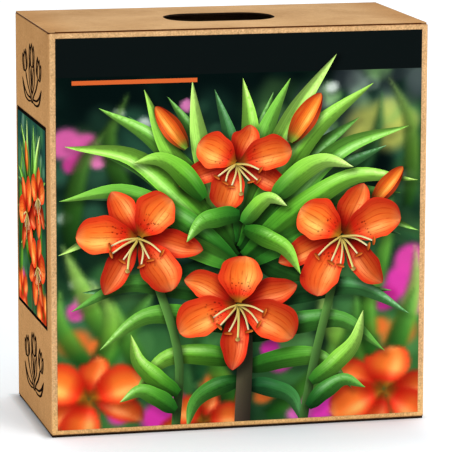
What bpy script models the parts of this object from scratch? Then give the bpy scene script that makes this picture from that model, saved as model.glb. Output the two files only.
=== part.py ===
"""A kraft-board carry carton for flower bulbs: a glued four-panel sleeve, a tuck-in lid with a hand
slot, two dust flaps, a four-flap bottom and four printed paper labels.

Metres, +Z up. The origin is the middle of the footprint, on the surface that the carton stands on.
The front panel faces -Y, the left side panel faces -X, and the lid is creased to the back panel."""

import math

import bpy
from mathutils import Matrix, Vector

# ---------------------------------------------------------------- driving dimensions
WIDTH = 0.270          # outside, left to right
DEPTH = 0.135          # outside, front to back
HEIGHT = 0.284         # outside, standing surface to the top of the closed lid
BOARD = 0.0012         # microflute board
GAP = 0.0003           # between neighbouring pieces
FOLD_R = 0.0011        # outer radius of a folded corner

SLOT_L, SLOT_W, SLOT_R = 0.0792, 0.0500, 0.0225     # hand slot: length, width, corner radius
FRONT_SLIT = 0.0007    # open line between the lid's front crease and the front panel
FRONT_DROP = 0.0009    # the front panel ends this far below the top of the lid
LID_INSET = 0.0004     # lid's cut side edges, inside the side panels' outer faces

TUCK_H = 0.024         # tuck flap, crease to tip
TUCK_LEAN = math.radians(12)   # how far the tucked flap leans inwards
TUCK_HALF = 0.1305     # half its length at the crease
TUCK_TAPER = 0.0060    # how much each end runs in at the tip

DUST_L = 0.072         # dust flap, crease to free edge
DUST_FRONT = -0.0605   # its front edge
DUST_BACK = 0.0640     # its back edge at the crease
DUST_TAPER = math.radians(25)

BOTTOM_SEAM = 0.0008   # between the two outer bottom flaps
GLUE_TAB_W = 0.019

LABEL_T, LABEL_GAP = 0.00015, 0.00015

KRAFT = (0.60, 0.38, 0.19, 1)
LINER = (0.20, 0.13, 0.075, 1)
PRINT = (0.10, 0.22, 0.06, 1)
PRINT_SIDE = (0.75, 0.20, 0.03, 1)

X1, Y1 = WIDTH / 2, DEPTH / 2
LID_TOP = HEIGHT
LID_BOTTOM = LID_TOP - BOARD
DUST_TOP = LID_BOTTOM - GAP
DUST_BOTTOM = DUST_TOP - BOARD
WALL_FOOT = BOARD + GAP
LID_FRONT = -Y1 + BOARD + FRONT_SLIT


# ---------------------------------------------------------------- helpers
for found in list(bpy.data.objects):
    bpy.data.objects.remove(found)

carton = bpy.data.collections.new("bulb_carton")
bpy.context.scene.collection.children.link(carton)


def material(name, colour, roughness=0.85):
    m = bpy.data.materials.new(name)
    m.use_nodes = True
    p = m.node_tree.nodes["Principled BSDF"]
    p.inputs["Base Color"].default_value = colour
    p.inputs["Roughness"].default_value = roughness
    p.inputs["Metallic"].default_value = 0.0
    m.diffuse_color = colour
    return m


def rounded(points, radii, steps=6):
    """The outline through these corners, each turned with its radius."""
    out = []
    n = len(points)
    for i in range(n):
        p, r = Vector(points[i]), radii[i]
        if r <= 0:
            out.append(tuple(p))
            continue
        a = (Vector(points[i - 1]) - p).normalized()
        b = (Vector(points[(i + 1) % n]) - p).normalized()
        half = math.acos(max(-1, min(1, a.dot(b)))) / 2
        reach = r / math.tan(half)
        centre = p + (a + b).normalized() * (r / math.sin(half))
        start, end = p + a * reach - centre, p + b * reach - centre
        sweep = math.atan2(start.x * end.y - start.y * end.x, start.dot(end))
        for k in range(steps + 1):
            t = sweep * k / steps
            c, s = math.cos(t), math.sin(t)
            out.append(
                (centre.x + start.x * c - start.y * s, centre.y + start.x * s + start.y * c)
            )
    return out


def board(name, outlines, thickness, place, colour, roughness=0.85):
    """A sheet cut to the outlines (the first is the outside, any other is a hole), its middle plane at place."""
    data = bpy.data.curves.new(name, "CURVE")
    data.dimensions = "2D"
    data.fill_mode = "BOTH"
    data.extrude = thickness / 2
    for outline in outlines:
        s = data.splines.new("POLY")
        s.points.add(len(outline) - 1)
        for p, (x, y) in zip(s.points, outline):
            p.co = (x, y, 0, 1)
        s.use_cyclic_u = True
    o = bpy.data.objects.new(name, data)
    carton.objects.link(o)
    o.matrix_world = place
    o.data.materials.append(material(name, colour, roughness))
    return o


def flat(z):
    """The sheet lies level, its middle plane at height z. Outline x, y are the carton's X, Y."""
    return Matrix.Translation((0, 0, z))


def facing_front(y):
    """The sheet stands, outline x, y are X, Z, and its middle plane is at this Y."""
    return Matrix(((1, 0, 0, 0), (0, 0, -1, y), (0, 1, 0, 0), (0, 0, 0, 1)))


def facing_side(x):
    """The sheet stands, outline x, y are Y, Z, and its middle plane is at this X."""
    return Matrix(((0, 0, 1, x), (1, 0, 0, 0), (0, 1, 0, 0), (0, 0, 0, 1)))


def rectangle(x0, x1, y0, y1):
    return [(x0, y0), (x1, y0), (x1, y1), (x0, y1)]


# ---------------------------------------------------------------- sleeve
def wrapped_panel(name, side, top):
    """A front or back panel: a plan section with folded outer corners, as tall as the sleeve."""
    y_out, y_in = side * Y1, side * (Y1 - BOARD)
    corners = [(-X1, y_in), (-X1, y_out), (X1, y_out), (X1, y_in)]
    section = rounded(corners, [0, FOLD_R, FOLD_R, 0], 5)
    height = top - WALL_FOOT
    return board(name, [section], height, flat(WALL_FOOT + height / 2), KRAFT)


wrapped_panel("front_panel", -1, LID_TOP - FRONT_DROP)
wrapped_panel("back_panel", 1, LID_BOTTOM - GAP)

SIDE_Y = Y1 - BOARD - GAP
for name, side in (("left_side_panel", -1), ("right_side_panel", 1)):
    board(
        name,
        [rectangle(-SIDE_Y, SIDE_Y, WALL_FOOT, DUST_BOTTOM - GAP)],
        BOARD,
        facing_side(side * (X1 - BOARD / 2)),
        KRAFT,
    )

TAB_X = X1 - BOARD - GAP
board(
    "glue_tab",
    [
        rounded(
            [
                (TAB_X, 0.004),
                (TAB_X, HEIGHT - 0.008),
                (TAB_X - GLUE_TAB_W, HEIGHT - 0.018),
                (TAB_X - GLUE_TAB_W, 0.014),
            ],
            [0, 0, 0.002, 0.002],
        )
    ],
    BOARD,
    facing_front(Y1 - BOARD - GAP - BOARD / 2),
    LINER,
)

# ---------------------------------------------------------------- bottom
for name, side in (("bottom_flap_front", -1), ("bottom_flap_back", 1)):
    near, far = side * BOTTOM_SEAM / 2, side * Y1
    board(
        name,
        [
            rounded(
                [(-X1 + 0.0006, far), (X1 - 0.0006, far), (X1 - 0.0018, near), (-X1 + 0.0018, near)],
                [0.0008, 0.0008, 0.002, 0.002],
                4,
            )
        ],
        BOARD,
        flat(BOARD / 2),
        KRAFT,
    )
INNER_X = X1 - BOARD - GAP
for name, side in (("bottom_flap_left", -1), ("bottom_flap_right", 1)):
    y = Y1 - BOARD - GAP
    root, free = side * INNER_X, side * (X1 - Y1)
    # the right-hand flap stops short of the glue tab
    back = y if side < 0 else y - BOARD - GAP
    board(
        name,
        [
            rounded(
                [(root, -y), (root, back), (free, back - 0.0012), (free, -y + 0.0012)],
                [0, 0, 0.002, 0.002],
                4,
            )
        ],
        BOARD,
        flat(WALL_FOOT + BOARD / 2),
        LINER,
    )

# ---------------------------------------------------------------- lid, creased to the back panel
lid_pivot = bpy.data.objects.new("lid_crease", None)
lid_pivot.location = (0, Y1, LID_TOP)
carton.objects.link(lid_pivot)
bpy.context.view_layer.update()


def hang_on(o, pivot):
    """The sheet keeps its place and is carried by the crease's empty."""
    bpy.context.view_layer.update()
    world = o.matrix_world.copy()
    o.parent = pivot
    o.matrix_parent_inverse = Matrix.Identity(4)
    o.matrix_world = world


lid_x = X1 - LID_INSET
lid_outline = rounded(
    [(-lid_x, LID_FRONT), (lid_x, LID_FRONT), (lid_x, Y1), (-lid_x, Y1)],
    [0.0015, 0.0015, 0.0006, 0.0006],
    4,
)
slot_outline = rounded(
    [
        (-SLOT_L / 2, -SLOT_W / 2),
        (-SLOT_L / 2, SLOT_W / 2),
        (SLOT_L / 2, SLOT_W / 2),
        (SLOT_L / 2, -SLOT_W / 2),
    ],
    [SLOT_R] * 4,
    10,
)
hang_on(
    board("lid_panel", [lid_outline, slot_outline], BOARD, flat(LID_TOP - BOARD / 2), KRAFT),
    lid_pivot,
)

# ---------------------------------------------------------------- tuck flap, creased to the lid
tuck_pivot = bpy.data.objects.new("tuck_crease", None)
tuck_pivot.location = (0, LID_FRONT, LID_TOP)
carton.objects.link(tuck_pivot)
bpy.context.view_layer.update()
# Drawn lying forwards of the crease as if unfolded, then folded down and in about the crease.
fold = math.pi / 2 + TUCK_LEAN
start = BOARD + 2 * GAP
tuck_outline = rounded(
    [
        (-TUCK_HALF, -start),
        (-TUCK_HALF + TUCK_TAPER, -TUCK_H),
        (TUCK_HALF - TUCK_TAPER, -TUCK_H),
        (TUCK_HALF, -start),
    ],
    [0, 0.009, 0.009, 0],
    6,
)
tuck = board(
    "tuck_flap",
    [tuck_outline],
    BOARD,
    Matrix.Translation((0, LID_FRONT, LID_TOP))
    @ Matrix.Rotation(fold, 4, "X")
    @ Matrix.Translation((0, 0, -BOARD / 2)),
    KRAFT,
)
hang_on(tuck, tuck_pivot)

# ---------------------------------------------------------------- dust flaps, creased to the sides
for name, side in (("left_dust_flap", -1), ("right_dust_flap", 1)):
    pivot = bpy.data.objects.new(name.replace("flap", "crease"), None)
    pivot.location = (side * X1, 0, DUST_TOP)
    carton.objects.link(pivot)
    bpy.context.view_layer.update()
    root, free = side * X1, side * (X1 - DUST_L)
    outline = rounded(
        [
            (root, DUST_FRONT),
            (root, DUST_BACK),
            (free, DUST_BACK - DUST_L * math.tan(DUST_TAPER)),
            (free, DUST_FRONT + 0.0025),
        ],
        [0.0, 0.0, 0.008, 0.008],
        6,
    )
    hang_on(board(name, [outline], BOARD, flat(DUST_TOP - BOARD / 2), KRAFT), pivot)

# ---------------------------------------------------------------- printed labels
label_y = Y1 + LABEL_GAP + LABEL_T / 2
label_x = X1 + LABEL_GAP + LABEL_T / 2
FACE_EDGE = 0.0045
front_area = rectangle(-X1 + FACE_EDGE, X1 - FACE_EDGE, 0.0048, HEIGHT - FACE_EDGE)
board("front_label", [front_area], LABEL_T, facing_front(-label_y), PRINT, 0.45)
board(
    "back_label",
    [rectangle(-0.095, 0.095, 0.075, 0.215)],
    LABEL_T,
    facing_front(label_y),
    KRAFT,
    0.6,
)
side_area = rectangle(-Y1 + 0.0125, Y1 - 0.0070, 0.0735, 0.2165)
board("left_side_label", [side_area], LABEL_T, facing_side(-label_x), PRINT_SIDE, 0.45)
board("right_side_label", [side_area], LABEL_T, facing_side(label_x), PRINT_SIDE, 0.45)
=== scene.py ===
"""The looks of the bulb carton: kraft board, printed pictures, line drawings, studio floor, lights and camera."""

import math

import bmesh
import bpy
import numpy as np
from mathutils import Matrix, Vector
from mathutils.geometry import delaunay_2d_cdt


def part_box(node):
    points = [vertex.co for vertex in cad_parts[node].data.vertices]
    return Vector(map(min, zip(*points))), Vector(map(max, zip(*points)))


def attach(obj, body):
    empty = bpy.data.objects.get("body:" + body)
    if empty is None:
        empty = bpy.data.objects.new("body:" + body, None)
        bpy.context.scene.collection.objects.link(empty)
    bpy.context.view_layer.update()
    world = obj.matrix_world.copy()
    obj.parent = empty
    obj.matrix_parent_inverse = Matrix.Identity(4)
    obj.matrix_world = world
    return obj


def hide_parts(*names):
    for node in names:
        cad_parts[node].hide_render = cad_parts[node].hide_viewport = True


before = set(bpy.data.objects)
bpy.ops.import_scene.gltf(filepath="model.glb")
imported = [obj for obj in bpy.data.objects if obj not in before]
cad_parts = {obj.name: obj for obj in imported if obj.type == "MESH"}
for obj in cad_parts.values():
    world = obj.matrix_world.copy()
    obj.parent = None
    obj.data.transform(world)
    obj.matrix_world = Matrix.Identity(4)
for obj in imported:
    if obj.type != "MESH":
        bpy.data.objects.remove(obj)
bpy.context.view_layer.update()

# ---------------------------------------------------------------- sizes, in metres
W, D, H = 0.270, 0.135, 0.284
X1, Y1 = W / 2, D / 2
BOARD = 0.0012
GAP = 0.0003
FACE_EDGE = 0.0045
PRINT_Z0, PRINT_Z1 = 0.0048, H - FACE_EDGE
PRINT_Y = -Y1 - 0.0003
LABEL_T = 0.00015
HEADER_Z = 0.2524


def srgb(r, g, b):
    """8-bit sRGB to linear."""
    c = np.array([r, g, b], float) / 255
    return tuple(np.where(c <= 0.04045, c / 12.92, ((c + 0.055) / 1.055) ** 2.4))


def linear(c):
    c = np.clip(np.asarray(c, float) / 255, 0, 1)
    return np.where(c <= 0.04045, c / 12.92, ((c + 0.055) / 1.055) ** 2.4)


def smooth(a, b, x):
    t = np.clip((np.asarray(x, float) - a) / (b - a), 0, 1)
    return t * t * (3 - 2 * t)


# ---------------------------------------------------------------- node helpers
class Nodes:
    """Shorthand for building a node tree."""

    def __init__(self, tree):
        self.tree = tree
        self.tree.nodes.clear()

    def put(self, socket, value):
        if isinstance(value, bpy.types.NodeSocket):
            self.tree.links.new(value, socket)
        elif value is not None:
            if isinstance(value, tuple) and len(value) == 3 and socket.type == "RGBA":
                value = (*value, 1)
            socket.default_value = value

    def node(self, kind, inputs=None, **settings):
        n = self.tree.nodes.new("ShaderNode" + kind)
        for k, v in settings.items():
            setattr(n, k, v)
        for k, v in (inputs or {}).items():
            self.put(n.inputs[k], v)
        return n

    def math(self, operation, a, b=None, c=None, clamp=False):
        n = self.node("Math", operation=operation, use_clamp=clamp)
        for i, v in enumerate((a, b, c)):
            if v is not None:
                self.put(n.inputs[i], v)
        return n.outputs[0]

    def vmath(self, operation, a, b=None, scale=None):
        n = self.node("VectorMath", operation=operation)
        self.put(n.inputs[0], a)
        if b is not None:
            self.put(n.inputs[1], b)
        if scale is not None:
            self.put(n.inputs["Scale"], scale)
        return n.outputs["Value" if operation in ("DOT_PRODUCT", "LENGTH", "DISTANCE") else "Vector"]

    def ramp(self, x, a, b, lo=0.0, hi=1.0, smoothly=True):
        n = self.node(
            "MapRange",
            {"Value": x, "From Min": a, "From Max": b, "To Min": lo, "To Max": hi},
            interpolation_type="SMOOTHSTEP" if smoothly else "LINEAR",
        )
        return n.outputs[0]

    def mix(self, factor, a, b, blend="MIX"):
        n = self.node("Mix", data_type="RGBA", blend_type=blend)
        self.put(n.inputs[0], factor)
        self.put(n.inputs[6], a)
        self.put(n.inputs[7], b)
        return n.outputs[2]

    def noise(self, vector, scale, detail=2.0, roughness=0.5, distortion=0.0):
        return self.node(
            "TexNoise",
            {
                "Vector": vector,
                "Scale": scale,
                "Detail": detail,
                "Roughness": roughness,
                "Distortion": distortion,
            },
        ).outputs["Fac"]

    def place(self, vector, scale=(1, 1, 1), move=(0, 0, 0)):
        return self.node("Mapping", {"Vector": vector, "Scale": scale, "Location": move}).outputs[0]

    def bump(self, height, strength, distance):
        return self.node(
            "Bump", {"Height": height, "Strength": strength, "Distance": distance}
        ).outputs[0]

    def finish(self, colour, roughness, normal=None, specular=0.3, sheen=0.0):
        b = self.node("BsdfPrincipled", {"Base Color": colour, "Roughness": roughness})
        b.inputs["Specular IOR Level"].default_value = specular
        b.inputs["Sheen Weight"].default_value = sheen
        if normal is not None:
            self.put(b.inputs["Normal"], normal)
        out = self.node("OutputMaterial")
        self.tree.links.new(b.outputs[0], out.inputs[0])
        return b


def new_material(name):
    m = bpy.data.materials.new(name)
    m.use_nodes = True
    return m, Nodes(m.node_tree)


def kraft_colour(n, at, light, dark, grain=1.0, along=(1.0, 1.0, 0.16), clouds=0.55):
    """Speckled, fibrous kraft: returns the colour and a height for bump."""
    fleck = n.noise(at, 1250, 2.0, 0.6)
    fibre = n.noise(n.place(at, along), 1500, 2.0, 0.55, 0.4)
    cloud = n.noise(at, 17, 3.0, 0.55, 0.3)
    mottle = n.noise(at, 130, 4.0, 0.6)
    level = n.math("MULTIPLY_ADD", n.math("SUBTRACT", fleck, 0.5), 1.15 * grain, 0.52)
    level = n.math("MULTIPLY_ADD", n.math("SUBTRACT", fibre, 0.5), 0.75 * grain, level)
    level = n.math("MULTIPLY_ADD", n.math("SUBTRACT", cloud, 0.5), clouds, level)
    level = n.math("MULTIPLY_ADD", n.math("SUBTRACT", mottle, 0.5), 0.38, level, clamp=True)
    colour = n.mix(level, dark, light)
    # sparse dark and pale fibres
    specks = n.noise(n.place(at, (1.0, 1.0, 0.45), (3.1, 1.7, 0.4)), 640, 1.0, 0.5, 0.8)
    colour = n.mix(
        n.ramp(specks, 0.69, 0.76, 0.0, 0.55 * grain), colour, tuple(0.42 * c for c in dark)
    )
    pale = n.noise(n.place(at, (0.45, 1.0, 1.0), (7.3, 0.2, 2.9)), 700, 1.0, 0.5, 0.8)
    colour = n.mix(
        n.ramp(pale, 0.69, 0.77, 0.0, 0.4 * grain), colour, tuple(min(1, 1.3 * c) for c in light)
    )
    return colour, n.math("ADD", fibre, fleck)


def outer_axis(n, axis, sign):
    """1 where the surface faces out along this axis of the piece, 0 elsewhere."""
    normal = n.node("TexCoord").outputs["Normal"]
    part = n.node("SeparateXYZ", {0: normal}).outputs[axis]
    return n.ramp(n.math("MULTIPLY", part, sign), 0.45, 0.75)


KRAFT_LIGHT, KRAFT_DARK = srgb(211, 170, 120), srgb(166, 124, 77)
# painted light: the sides' kraft is warmer and a little darker than the front's, for the warm, dimmer light on the
# sides
SIDE_LIGHT, SIDE_DARK = srgb(212, 161, 107), srgb(166, 118, 69)
FRONT_LIGHT, FRONT_DARK = srgb(217, 175, 127), srgb(172, 130, 83)
# painted shade: the liner is kraft darkened, for the dark inside of the carton
SHADED_LINER_LIGHT, SHADED_LINER_DARK = srgb(140, 106, 72), srgb(98, 72, 46)
EDGE_LIGHT, EDGE_DARK = srgb(108, 52, 14), srgb(50, 23, 6)


def board_material(name, axis, sign, light=KRAFT_LIGHT, dark=KRAFT_DARK, along=(1, 1, 0.16), fold=None, fade=None, shaded_hole=None, edge=(EDGE_LIGHT, EDGE_DARK), clouds=0.55, painted_end_shade_and_front_light=False):
    """Kraft where the sheet faces out along axis and round its fold, liner darkened as painted shade where it faces in,
    and a brown cut edge. fade is the height over which a cut edge goes from brown to kraft. A hole size gives the half
    size of a region whose cut edges are painted near-black, painted shade for the shadow at the rim of that hole. The
    flag for the lid's ends and front makes the sheet browner towards its two ends as painted shade, and paler towards
    the front as painted light."""
    m, n = new_material(name)
    at = n.node("TexCoord").outputs["Object"]
    outside, height = kraft_colour(n, at, light, dark, 1.0, along, clouds)
    inside, _ = kraft_colour(n, n.place(at, (1, 1, 1), (0.4, 0.9, 0.2)), SHADED_LINER_LIGHT, SHADED_LINER_DARK, 0.8, along)
    flute = n.noise(n.place(at, (1, 1, 1)), 900, 2, 0.6)
    cut = n.mix(flute, edge[1], edge[0])
    if fade:
        z = n.node("SeparateXYZ", {0: at}).outputs[2]
        cut = n.mix(n.ramp(z, *fade), cut, outside)
    # painted shade: near-black cut edges round the hole, for the shadow at its rim
    if shaded_hole:
        x, y, _ = n.node("SeparateXYZ", {0: at}).outputs
        near = n.math("MULTIPLY", n.math("LESS_THAN", n.math("ABSOLUTE", x), shaded_hole[0]), n.math("LESS_THAN", n.math("ABSOLUTE", y), shaded_hole[1]))
        cut = n.mix(near, cut, n.mix(flute, srgb(26, 15, 9), srgb(44, 27, 16)))
    out = outer_axis(n, axis, sign)
    if fold:
        out = n.math("MAXIMUM", out, outer_axis(n, *fold))
    # painted shade browns the lid towards its two ends; painted light makes it paler towards the front
    if painted_end_shade_and_front_light:
        x, y, _ = n.node("SeparateXYZ", {0: at}).outputs
        ends = n.ramp(n.math("ABSOLUTE", x), X1 - 0.034, X1 - 0.002)
        outside = n.mix(ends, outside, n.vmath("MULTIPLY", outside, (0.84, 0.74, 0.60)))
        outside = n.vmath("SCALE", outside, scale=n.ramp(y, -Y1, 0.3 * Y1, 1.07, 0.98))
    colour = n.mix(out, n.mix(outer_axis(n, axis, -sign), cut, inside), outside)
    n.finish(colour, 0.86, n.bump(height, 0.18, 0.00012), 0.09)
    return m


# ---------------------------------------------------------------- flat artwork
def spline(points, count):
    """A smooth line through the points (Catmull-Rom), evenly spaced."""
    p = np.array(points, float)
    p = np.vstack([2 * p[0] - p[1], p, 2 * p[-1] - p[-2]])
    out = []
    for i in range(1, len(p) - 2):
        t = np.linspace(0, 1, 24, endpoint=False)[:, None]
        a, b, c, d = p[i - 1 : i + 3]
        out.append(
            0.5
            * (
                2 * b
                + (c - a) * t
                + (2 * a - 5 * b + 4 * c - d) * t**2
                + (3 * b - a - 3 * c + d) * t**3
            )
        )
    q = np.vstack(out + [p[-2][None]])
    s = np.concatenate([[0], np.cumsum(np.linalg.norm(np.diff(q, axis=0), axis=1))])
    at = np.linspace(0, s[-1], count)
    return np.stack([np.interp(at, s, q[:, k]) for k in range(2)], 1)


def stations(rows):
    """How far along a ribbon each of its rows lies, closer together at both ends."""
    t = np.linspace(0, 1, rows + 1)
    return 0.5 * t + 0.25 * (1 - np.cos(math.pi * t))


def ribbon(points, width, profile, rows=16, cols=4, lean=0.0, wave=0.0, phase=0.0):
    """A grid of points along a line: v runs from root to tip, u from -1 on its left edge to 1 on its right.
    lean moves the midrib off the middle, which turns the blade away from the eye; wave ruffles its edges."""
    v = stations(rows)
    fine = spline(points, 121)
    at = np.linspace(0, 1, 121)
    line = np.stack([np.interp(v, at, fine[:, k]) for k in range(2)], 1)
    tangent = np.gradient(fine, axis=0)
    tangent = np.stack([np.interp(v, at, tangent[:, k]) for k in range(2)], 1)
    tangent /= np.linalg.norm(tangent, axis=1)[:, None] + 1e-9
    across = np.stack([tangent[:, 1], -tangent[:, 0]], 1)
    pv, pw = zip(*profile)
    half = np.interp(v, pv, pw) * width / 2
    half[-1] = max(half[-1], 0.08)
    u = np.linspace(-1, 1, cols + 1)
    grid = np.zeros((rows + 1, cols + 1, 2))
    for j, uj in enumerate(u):
        ruffle = 1 + wave * np.sin(v * 15 + phase + (2.1 if uj < 0 else 0)) * abs(uj)
        side = (1 + lean * (1 if uj > 0 else -1)) * ruffle
        grid[:, j] = line + across * (half * side * uj)[:, None]
    return grid


def taper(a, b, root):
    """The width along a blade: it swells as v**a and closes as (1 - v)**b, and is never below root before its widest."""
    v = np.linspace(0, 1, 81)
    w = v**a * (1 - v) ** b
    w = w / w.max()
    w = np.where(v < a / (a + b), np.maximum(w, root), w)
    return list(zip(v, w))


LANCE = taper(0.42, 0.92, 0.5)
PETAL = taper(0.85, 0.56, 0.16)
SEPAL = taper(0.90, 0.74, 0.16)
BUD = taper(0.50, 0.52, 0.3)
STALK = [(0, 1.0), (1, 0.9)]
FILAMENT = [(0, 1.0), (1, 0.75)]
ANTHER = [(0, 0.5), (0.3, 1.0), (0.7, 1.0), (1, 0.4)]


def outline(grid):
    return np.vstack([grid[:, 0], grid[-1, 1:-1], grid[::-1, -1], grid[0, -2:0:-1]])


def winding(points, poly):
    """The winding number of a closed outline round each point."""
    x, y = points[:, 0][:, None], points[:, 1][:, None]
    ax, ay = poly[:, 0], poly[:, 1]
    bx, by = np.roll(ax, -1), np.roll(ay, -1)
    side = (bx - ax) * (y - ay) - (x - ax) * (by - ay)
    up = (ay <= y) & (by > y) & (side > 0)
    down = (ay > y) & (by <= y) & (side < 0)
    return up.sum(1) - down.sum(1)


def distance(points, poly):
    """How far each point is from an outline, negative inside."""
    a, b = poly, np.roll(poly, -1, 0)
    ab = b - a
    t = ((points[:, None] - a) * ab).sum(2) / ((ab * ab).sum(1) + 1e-12)
    near = a + np.clip(t, 0, 1)[..., None] * ab
    d = np.sqrt(((points[:, None] - near) ** 2).sum(2)).min(1)
    return np.where(winding(points, poly) != 0, -d, d)


def local(points, grid):
    """(u, v) of each point in a ribbon's grid."""
    r, c = grid.shape[0] - 1, grid.shape[1] - 1
    u, v = np.meshgrid(np.linspace(-1, 1, c + 1), stations(r) if r > 1 else np.array([0.0, 1.0]))
    p, uv = grid.reshape(-1, 2), np.stack([u.ravel(), v.ravel()], 1)
    i = np.arange((r + 1) * (c + 1)).reshape(r + 1, c + 1)
    a, b, d, e = i[:-1, :-1].ravel(), i[:-1, 1:].ravel(), i[1:, :-1].ravel(), i[1:, 1:].ravel()
    tri = np.vstack([np.stack([a, b, e], 1), np.stack([a, e, d], 1)])
    p0, e1, e2 = p[tri[:, 0]], p[tri[:, 1]] - p[tri[:, 0]], p[tri[:, 2]] - p[tri[:, 0]]
    det = e1[:, 0] * e2[:, 1] - e1[:, 1] * e2[:, 0]
    det = np.where(np.abs(det) < 1e-7, 1e-7, det)
    out = np.zeros((len(points), 2))
    for k in range(0, len(points), 4000):
        q = points[k : k + 4000, None] - p0
        s = (q[..., 0] * e2[:, 1] - q[..., 1] * e2[:, 0]) / det
        t = (q[..., 1] * e1[:, 0] - q[..., 0] * e1[:, 1]) / det
        inside = np.minimum(np.minimum(s, t), 1 - s - t)
        best = inside.argmax(1)
        row = np.arange(len(best))
        s, t = s[row, best], t[row, best]
        s, t = np.clip(s, 0, 1), np.clip(t, 0, 1)
        w = np.stack([1 - s - t, s, t], 1)
        out[k : k + 4000] = (uv[tri[best]] * w[..., None]).sum(1)
    return out


def blend(stops, x):
    """Colour along a list of (place, colour) stops."""
    at = [s[0] for s in stops]
    col = np.array([s[1] for s in stops], float)
    return np.stack([np.interp(x, at, col[:, k]) for k in range(3)], -1)


class Picture:
    """A flat picture built from overlapping shapes. Lengths are in millimetres, from its lower left corner."""

    def __init__(self, wide, high, seed, step=2.1, gain=0.82):
        self.w, self.h, self.step, self.gain = wide, high, step, gain
        self.rng = np.random.default_rng(seed)
        self.sharp, self.soft = [], []

    # ---- what shapes look like: each returns colours for (u, v), in sRGB 0 to 255
    def add(self, grid, paint, kind, cast=0.5, reach=5.0, ribs=True, grain=1.0):
        self.sharp.append(
            dict(
                grid=grid,
                poly=outline(grid),
                paint=paint,
                kind=kind,
                cast=cast,
                reach=reach,
                ribs=ribs,
                grain=grain,
                seed=float(self.rng.uniform(0, 50)),
            )
        )

    def add_soft(self, grid, paint, blur, opacity=1.0):
        self.soft.append(dict(grid=grid, poly=outline(grid), paint=paint, blur=blur, opacity=opacity))

    def blob(self, x, y, rx, ry, angle, colour, blur, opacity=1.0):
        self.soft.append(dict(blob=(x, y, rx, ry, angle), colour=colour, blur=blur, opacity=opacity))

    def background(self, p):
        """Colours of what is out of focus, at points p."""
        y = p[:, 1] / self.h
        col = blend(self.ground, y)
        for s in self.soft:
            if "blob" in s:
                x, yy, rx, ry, a = s["blob"]
                c, n = math.cos(a), math.sin(a)
                dx, dy = p[:, 0] - x, p[:, 1] - yy
                q = np.hypot((dx * c + dy * n) / rx, (-dx * n + dy * c) / ry)
                w = s["opacity"] * (1 - smooth(1 - s["blur"], 1 + s["blur"], q))
                col = col + (np.array(s["colour"], float) - col) * w[:, None]
            else:
                lo, hi = s["poly"].min(0) - s["blur"], s["poly"].max(0) + s["blur"]
                k = np.where(((p > lo) & (p < hi)).all(1))[0]
                if not len(k):
                    continue
                d = distance(p[k], s["poly"])
                w = s["opacity"] * (1 - smooth(-s["blur"], s["blur"], d))
                uv = local(p[k], s["grid"])
                c = s["paint"](uv[:, 0], uv[:, 1], p[k])
                col[k] += (c - col[k]) * w[:, None]
        return col

    def build(self, name, materials):
        """One flat mesh, every face belonging to the shape on top there, in the picture's own XY plane, in metres."""
        rng = self.rng
        pts, edges = [], []

        def path(q, closed):
            base = len(pts)
            pts.extend(map(tuple, q))
            n = len(q)
            edges.extend((base + i, base + (i + 1) % n) for i in range(n if closed else n - 1))

        nx, ny = max(2, round(self.w / self.step)), max(2, round(self.h / self.step))
        gx, gy = np.linspace(0, self.w, nx + 1), np.linspace(0, self.h, ny + 1)
        frame_line = (
            [(x, 0) for x in gx[:-1]]
            + [(self.w, y) for y in gy[:-1]]
            + [(x, self.h) for x in gx[:0:-1]]
            + [(0, y) for y in gy[:0:-1]]
        )
        path(frame_line, True)
        inner = np.array([(x, y) for y in gy[1:-1] for x in gx[1:-1]])
        inner += rng.uniform(-0.3, 0.3, inner.shape) * self.step
        inner = np.clip(inner, 0.4 * self.step, [self.w - 0.4 * self.step, self.h - 0.4 * self.step])
        pts.extend(map(tuple, inner))
        for s in self.sharp:
            path(s["poly"], True)
            g = s["grid"]
            mid = g.shape[1] // 2
            if s["ribs"]:
                path(g[1:-1, mid], False)
                for j in range(1, g.shape[1] - 1):
                    if j != mid:
                        pts.extend(map(tuple, g[1:-1, j]))
        verts, _, faces, _, _, _ = delaunay_2d_cdt(
            [Vector(p) for p in pts], edges, [], 0, 0.004, False
        )
        co = np.array([tuple(v) for v in verts])
        tri = np.array([f for f in faces if len(f) == 3])
        mid = co[tri].mean(1)
        a, b, c = co[tri[:, 0]], co[tri[:, 1]], co[tri[:, 2]]
        area = ((b - a)[:, 0] * (c - a)[:, 1] - (b - a)[:, 1] * (c - a)[:, 0]) / 2
        keep = (
            (mid[:, 0] > 0)
            & (mid[:, 0] < self.w)
            & (mid[:, 1] > 0)
            & (mid[:, 1] < self.h)
            & (np.abs(area) > 1e-7)
        )
        tri, mid, area = tri[keep], mid[keep], area[keep]
        tri[area < 0] = tri[area < 0][:, [0, 2, 1]]
        # the shape on top at each face
        owner = np.full(len(tri), -1)
        for k in range(len(self.sharp) - 1, -1, -1):
            poly = self.sharp[k]["poly"]
            lo, hi = poly.min(0), poly.max(0)
            c = np.where((owner < 0) & (mid > lo).all(1) & (mid < hi).all(1))[0]
            if len(c):
                owner[c[winding(mid[c], poly) != 0]] = k
        # colours at each (vertex, shape)
        corner_v, corner_s = tri.ravel(), np.repeat(owner, 3)
        key, back = np.unique(np.stack([corner_s, corner_v], 1), axis=0, return_inverse=True)
        back = back.ravel()
        p = co[key[:, 1]]
        col = np.zeros((len(key), 3))
        puv = np.zeros((len(key), 3))
        ground = key[:, 0] < 0
        col[ground] = self.background(p[ground])
        puv[ground, 2] = 0
        for k, s in enumerate(self.sharp):
            i = np.where(key[:, 0] == k)[0]
            if not len(i):
                continue
            uv = local(p[i], s["grid"])
            col[i] = s["paint"](uv[:, 0], uv[:, 1], p[i])
            puv[i, 0], puv[i, 1], puv[i, 2] = uv[:, 0], uv[:, 1], s["seed"]
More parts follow.
